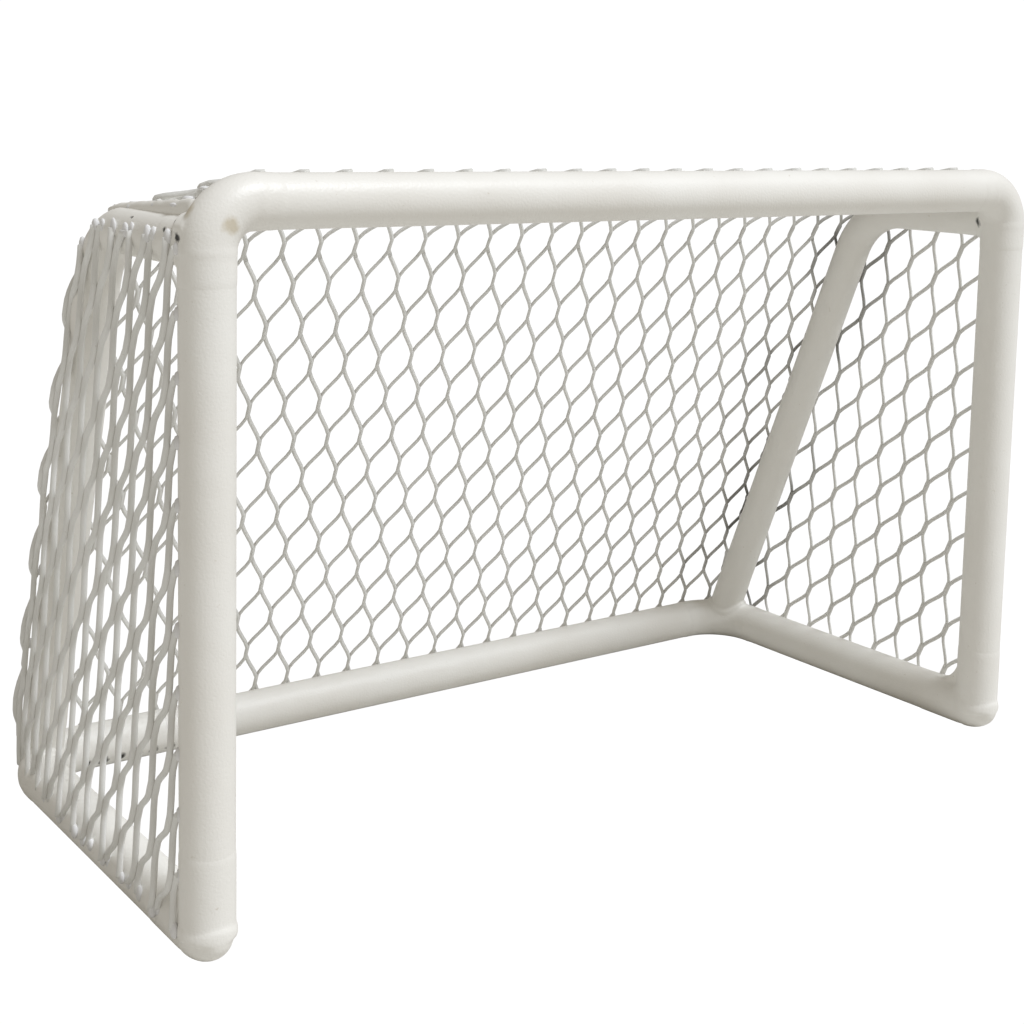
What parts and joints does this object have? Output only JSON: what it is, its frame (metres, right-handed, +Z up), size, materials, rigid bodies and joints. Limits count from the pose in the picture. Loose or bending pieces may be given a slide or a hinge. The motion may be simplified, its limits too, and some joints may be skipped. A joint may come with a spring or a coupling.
{
  "type": "hockey goal",
  "caption": "Small free-standing hockey goal: round tube frame with sloping rear braces, closed at the back, sides and top by rigid expanded-metal mesh.",
  "frame": {"origin": "on the floor, at the middle of the goal's width and depth", "axes": "+X along the crossbar, to the right seen from the mouth; +Y from the mouth to the back; +Z up"},
  "size_m": [0.845, 0.4075, 0.5335],
  "materials": {
    "tube_coating": "off-white dipped plastic coating, satin, slightly uneven",
    "mesh_coating": "off-white dipped plastic coating on expanded metal, satin",
    "weld_coating": "off-white coating over weld beads, lumpy"
  },
  "bodies": {
    "root": {"back_mesh": "mesh_coating", "base_rear_rail": "tube_coating", "crossbar": "tube_coating", "left_base_corner": "tube_coating", "left_base_end_cap": "tube_coating", "left_base_rail": "tube_coating", "left_brace": "tube_coating", "left_brace_foot_weld": "weld_coating", "left_brace_top_weld": "weld_coating", "left_elbow_bar_seam": "weld_coating", "left_elbow_post_seam": "weld_coating", "left_foot_gusset": "weld_coating", "left_post": "tube_coating", "left_post_foot_weld": "weld_coating", "left_side_mesh": "mesh_coating", "left_top_elbow": "tube_coating", "right_base_corner": "tube_coating", "right_base_end_cap": "tube_coating", "right_base_rail": "tube_coating", "right_brace": "tube_coating", "right_brace_foot_weld": "weld_coating", "right_brace_top_weld": "weld_coating", "right_elbow_bar_seam": "weld_coating", "right_elbow_post_seam": "weld_coating", "right_foot_gusset": "weld_coating", "right_post": "tube_coating", "right_post_foot_weld": "weld_coating", "right_side_mesh": "mesh_coating", "right_top_elbow": "tube_coating", "top_mesh": "mesh_coating"}
  },
  "joints": []
}
